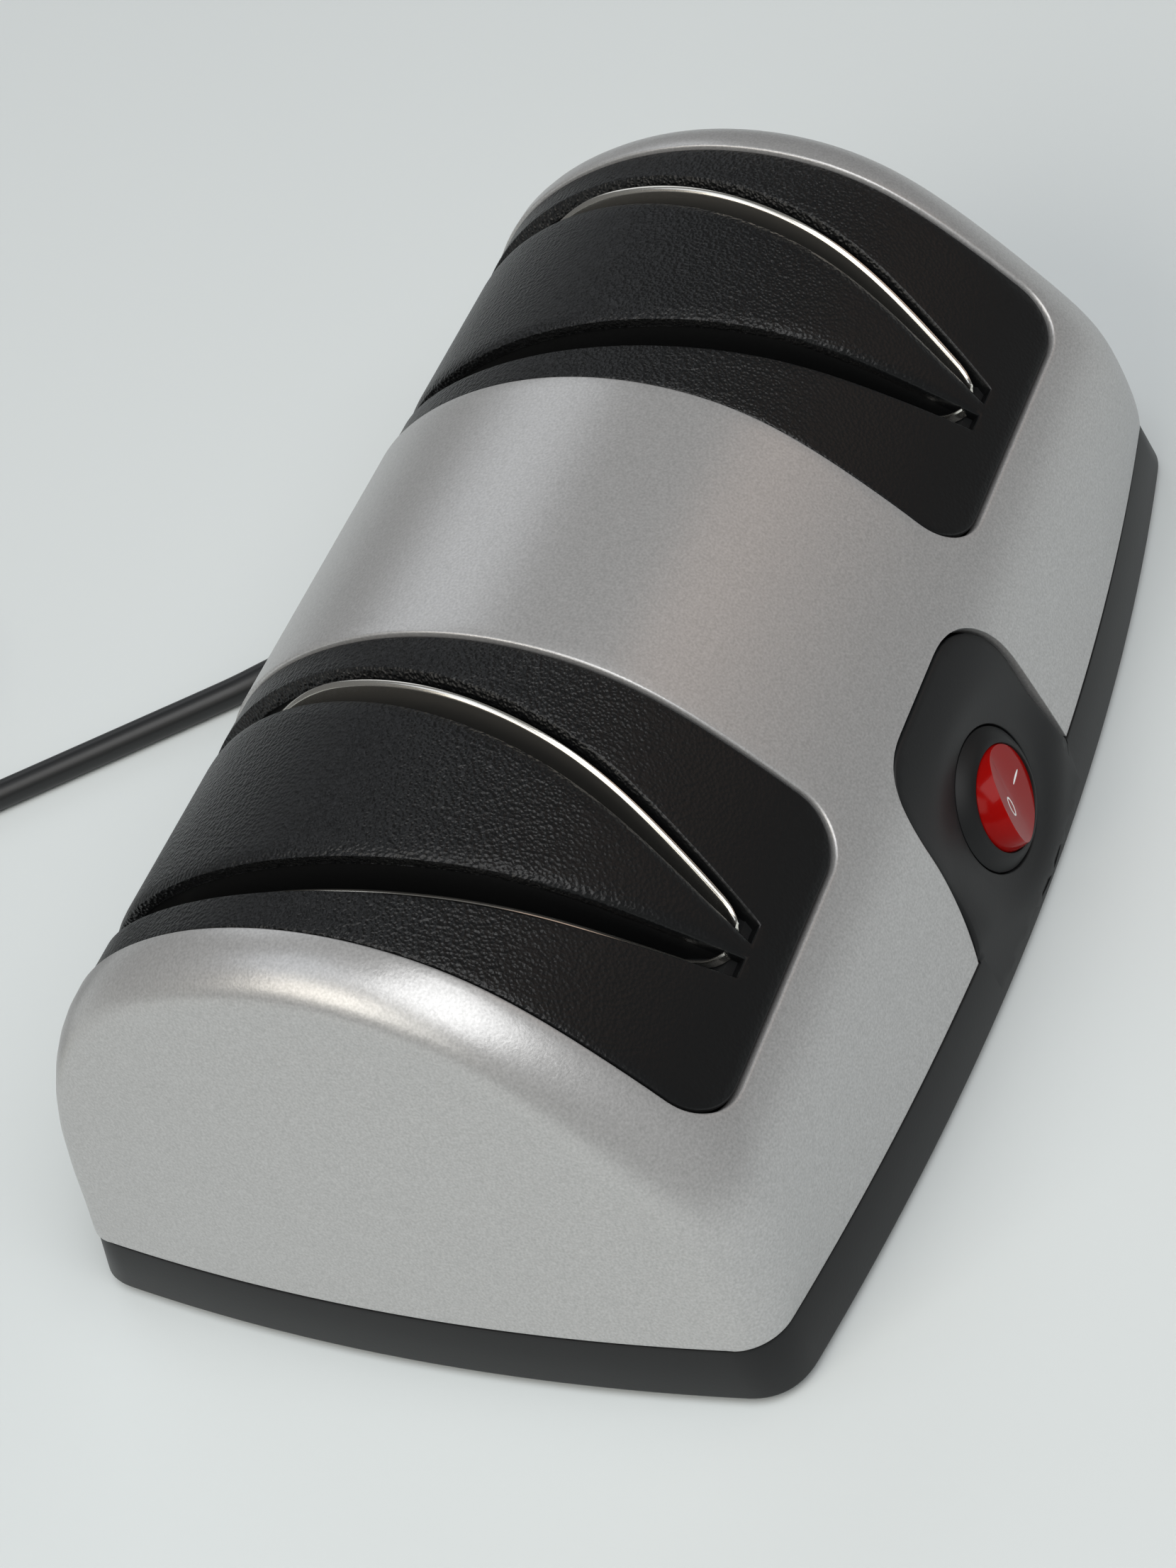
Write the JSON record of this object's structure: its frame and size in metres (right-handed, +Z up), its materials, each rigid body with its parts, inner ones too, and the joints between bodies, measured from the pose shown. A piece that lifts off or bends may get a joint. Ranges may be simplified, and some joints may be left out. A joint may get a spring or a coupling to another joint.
{
  "type": "electric knife sharpener",
  "caption": "Electric knife sharpener: arched housing, guide covers with knife slots over wheels on a motor shaft, rocker switch and mains cord.",
  "frame": {"origin": "centre of the housing's bounding box, at the underside of the feet", "axes": "+X along the housing from the coarse stage to the fine stage, +Y to the back, where the cord leaves, +Z up"},
  "size_m": [0.2163, 0.304, 0.0807],
  "materials": {
    "black_plastic": "satin charcoal-black moulded plastic",
    "silver_paint": "silver metallic paint on moulded plastic",
    "grained_plastic": "leather-grained black moulded plastic",
    "spring_steel": "polished strip",
    "switch_black": "fine satin",
    "red_plastic": "translucent, glossy",
    "brass": "plain",
    "lamination": "stacked sheet",
    "copper": "enamelled copper winding",
    "cast_alloy": "cast",
    "bronze": "sintered bronze",
    "zinc_screw": "zinc plated",
    "shaft_steel": "ground",
    "coarse_grit": "bonded coarse abrasive",
    "fine_grit": "bonded fine abrasive",
    "fan_plastic": "moulded",
    "rubber": "matt",
    "cord_pvc": "soft PVC"
  },
  "bodies": {
    "housing": {"base_housing": "black_plastic", "upper_housing": "silver_paint", "coarse_guide_cover": "grained_plastic", "fine_guide_cover": "grained_plastic", "switch_body": "switch_black", "switch_terminal_left": "brass", "switch_terminal_right": "brass", "motor_stator": "lamination", "motor_coil": "copper", "motor_bracket_left": "cast_alloy", "motor_bearing_left": "bronze", "end_bearing_left": "bronze", "motor_bracket_right": "cast_alloy", "motor_bearing_right": "bronze", "end_bearing_right": "bronze", "motor_bolt_upper": "zinc_screw", "motor_bolt_lower": "zinc_screw", "foot_front_left": "rubber", "foot_front_right": "rubber", "foot_back_left": "rubber", "foot_back_right": "rubber", "screw_front_left": "zinc_screw", "screw_front_right": "zinc_screw", "screw_back_left": "zinc_screw", "screw_back_right": "zinc_screw", "strain_relief": "cord_pvc", "cord_coil": "cord_pvc", "cord_run": "cord_pvc", "cord_tail": "cord_pvc", "cord_tie": "rubber", "plug_body": "cord_pvc", "plug_pin_left": "brass", "plug_pin_right": "brass"},
    "spindle": {"drive_shaft": "shaft_steel", "rotor": "lamination", "cooling_fan": "fan_plastic", "coarse_wheel_left": "coarse_grit", "coarse_wheel_right": "coarse_grit", "fine_wheel_left": "fine_grit", "fine_wheel_right": "fine_grit", "coarse_spacer": "shaft_steel", "fine_spacer": "shaft_steel", "coarse_collar": "shaft_steel", "fine_collar": "shaft_steel"},
    "rocker": {"switch_rocker": "red_plastic"},
    "coarse_guide_spring_left": {"coarse_spring_left": "spring_steel"},
    "coarse_guide_spring_right": {"coarse_spring_right": "spring_steel"},
    "fine_guide_spring_left": {"fine_spring_left": "spring_steel"},
    "fine_guide_spring_right": {"fine_spring_right": "spring_steel"}
  },
  "joints": [
    {"name": "drive_spin", "type": "hinge", "parent": "housing", "child": "spindle", "pos_m": [0, 0.005, 0.0375], "axis": [1, 0, 0], "continuous": true},
    {"name": "rocker_tilt", "type": "hinge", "parent": "housing", "child": "rocker", "pos_m": [0, -0.05892, 0.01989], "axis": [-0.2079, -0.2678, -0.9408], "range_deg": [0, 26]},
    {"name": "coarse_spring_left_flex", "type": "hinge", "parent": "housing", "child": "coarse_guide_spring_left", "pos_m": [-0.06704, 0, 0.0498], "axis": [0.1289, -0.9917, 0], "range_deg": [0, 2.2], "stiffness_Nm_per_rad": 1},
    {"name": "coarse_spring_right_flex", "type": "hinge", "parent": "housing", "child": "coarse_guide_spring_right", "pos_m": [-0.04666, 0, 0.0498], "axis": [0.1289, 0.9917, 0], "range_deg": [0, 2.2], "stiffness_Nm_per_rad": 1},
    {"name": "fine_spring_left_flex", "type": "hinge", "parent": "housing", "child": "fine_guide_spring_left", "pos_m": [0.04666, 0, 0.0498], "axis": [0.1289, -0.9917, 0], "range_deg": [0, 2.2], "stiffness_Nm_per_rad": 1},
    {"name": "fine_spring_right_flex", "type": "hinge", "parent": "housing", "child": "fine_guide_spring_right", "pos_m": [0.06704, 0, 0.0498], "axis": [0.1289, 0.9917, 0], "range_deg": [0, 2.2], "stiffness_Nm_per_rad": 1}
  ]
}
